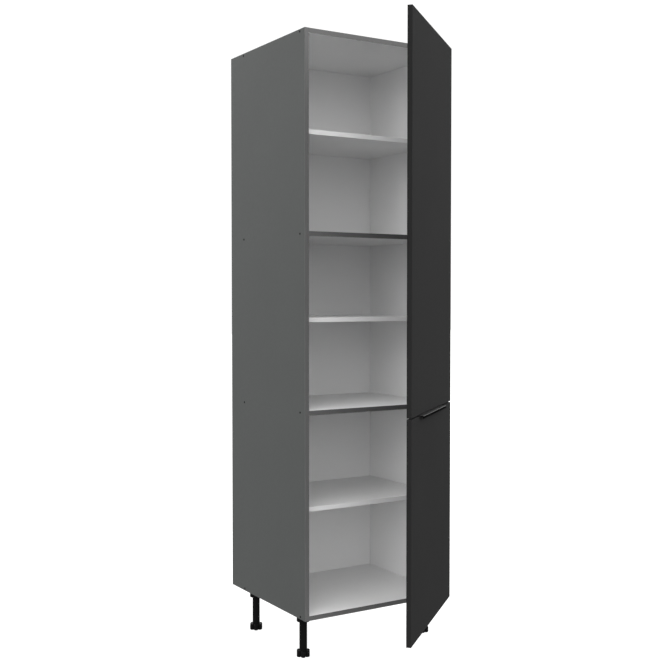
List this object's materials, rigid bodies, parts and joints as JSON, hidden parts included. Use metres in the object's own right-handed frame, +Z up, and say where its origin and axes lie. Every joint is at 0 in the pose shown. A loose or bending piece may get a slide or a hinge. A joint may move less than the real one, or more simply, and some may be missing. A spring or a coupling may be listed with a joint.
{
  "type": "pantry cabinet",
  "caption": "Tall kitchen pantry cabinet on adjustable legs, with an upper and a lower door hung on the right, fixed and loose shelves, and a black edge handle.",
  "frame": {"origin": "on the floor, at the middle of the rectangle that the cabinet covers with its doors at rest", "axes": "+Z up; the doors face -Y; +X is to the right, on the hinge side"},
  "size_m": [0.6, 0.9586, 2.14],
  "materials": {
    "carcass_board": "matt graphite laminate on chipboard, light grey inside",
    "interior_board": "matt light grey laminate on chipboard",
    "back_board": "matt light grey lacquered hardboard",
    "graphite_edge": "satin edge band",
    "light_edge": "satin edge band",
    "door_board": "soft matt anthracite laminate",
    "door_edge": "satin edge band",
    "handle_black": "black anodised",
    "black_plastic": "moulded black plastic",
    "nickel_steel": "nickel plated",
    "zinc_steel": "zinc plated",
    "black_steel": "black oxide",
    "beech": "plain beech",
    "clear_rubber": "translucent"
  },
  "bodies": {
    "carcass": {"left_side_panel": "carcass_board", "right_side_panel": "carcass_board", "top_panel": "carcass_board", "bottom_panel": "carcass_board", "lower_fixed_shelf": "interior_board", "upper_fixed_shelf": "interior_board", "back_panel": "back_board", "left_side_edge_band": "graphite_edge", "right_side_edge_band": "graphite_edge", "top_edge_band": "graphite_edge", "bottom_edge_band": "graphite_edge", "lower_fixed_edge_band": "graphite_edge", "upper_fixed_edge_band": "graphite_edge", "confirmat_screws": "black_steel", "assembly_dowels": "beech", "back_panel_screws": "zinc_steel", "lower_shelf_pins": "nickel_steel", "middle_shelf_pins": "nickel_steel", "upper_shelf_pins": "nickel_steel", "hinge_mounting_plates": "nickel_steel", "mounting_plate_screws": "zinc_steel", "hinge_arms": "nickel_steel", "hinge_arm_screws": "zinc_steel", "wall_brackets": "nickel_steel", "wall_bracket_screws": "zinc_steel", "leg_sockets": "black_plastic", "leg_socket_screws": "zinc_steel", "leg_tubes": "black_plastic"},
    "upper_door": {"upper_door_panel": "door_board", "upper_door_edge_bands": "door_edge", "upper_hinge_cups": "nickel_steel", "upper_hinge_links": "nickel_steel", "upper_cup_screws": "zinc_steel", "upper_door_bumpers": "clear_rubber"},
    "lower_door": {"lower_door_panel": "door_board", "lower_door_edge_bands": "door_edge", "lower_hinge_cups": "nickel_steel", "lower_hinge_links": "nickel_steel", "lower_cup_screws": "zinc_steel", "lower_door_bumpers": "clear_rubber", "edge_handle": "handle_black", "handle_screws": "black_steel"},
    "lower_loose_shelf": {"lower_shelf": "interior_board", "lower_shelf_edge_band": "light_edge"},
    "middle_loose_shelf": {"middle_shelf": "interior_board", "middle_shelf_edge_band": "light_edge"},
    "upper_loose_shelf": {"upper_shelf": "interior_board", "upper_shelf_edge_band": "light_edge"},
    "front_left_adjuster": {"front_left_foot": "black_plastic"},
    "front_right_adjuster": {"front_right_foot": "black_plastic"},
    "rear_left_adjuster": {"rear_left_foot": "black_plastic"},
    "rear_right_adjuster": {"rear_right_foot": "black_plastic"}
  },
  "joints": [
    {"name": "upper_door_hinge", "type": "hinge", "parent": "carcass", "child": "upper_door", "pos_m": [0.3032, -0.09168, 1.5], "axis": [0, 0, 1], "range_deg": [-40.3, 69.7]},
    {"name": "lower_door_hinge", "type": "hinge", "parent": "carcass", "child": "lower_door", "pos_m": [0.3032, -0.09168, 0.508], "axis": [0, 0, 1], "range_deg": [-40.3, 69.7]},
    {"name": "lower_shelf_lift", "type": "slide", "parent": "carcass", "child": "lower_loose_shelf", "axis": [0, 0, 1], "range_m": [0, 0.1]},
    {"name": "middle_shelf_lift", "type": "slide", "parent": "carcass", "child": "middle_loose_shelf", "axis": [0, 0, 1], "range_m": [0, 0.1]},
    {"name": "upper_shelf_lift", "type": "slide", "parent": "carcass", "child": "upper_loose_shelf", "axis": [0, 0, 1], "range_m": [0, 0.1]},
    {"name": "front_left_foot_adjust", "type": "slide", "parent": "carcass", "child": "front_left_adjuster", "axis": [0, 0, -1], "range_m": [0, 0.02]},
    {"name": "front_right_foot_adjust", "type": "slide", "parent": "carcass", "child": "front_right_adjuster", "axis": [0, 0, -1], "range_m": [0, 0.02]},
    {"name": "rear_left_foot_adjust", "type": "slide", "parent": "carcass", "child": "rear_left_adjuster", "axis": [0, 0, -1], "range_m": [0, 0.02]},
    {"name": "rear_right_foot_adjust", "type": "slide", "parent": "carcass", "child": "rear_right_adjuster", "axis": [0, 0, -1], "range_m": [0, 0.02]}
  ]
}
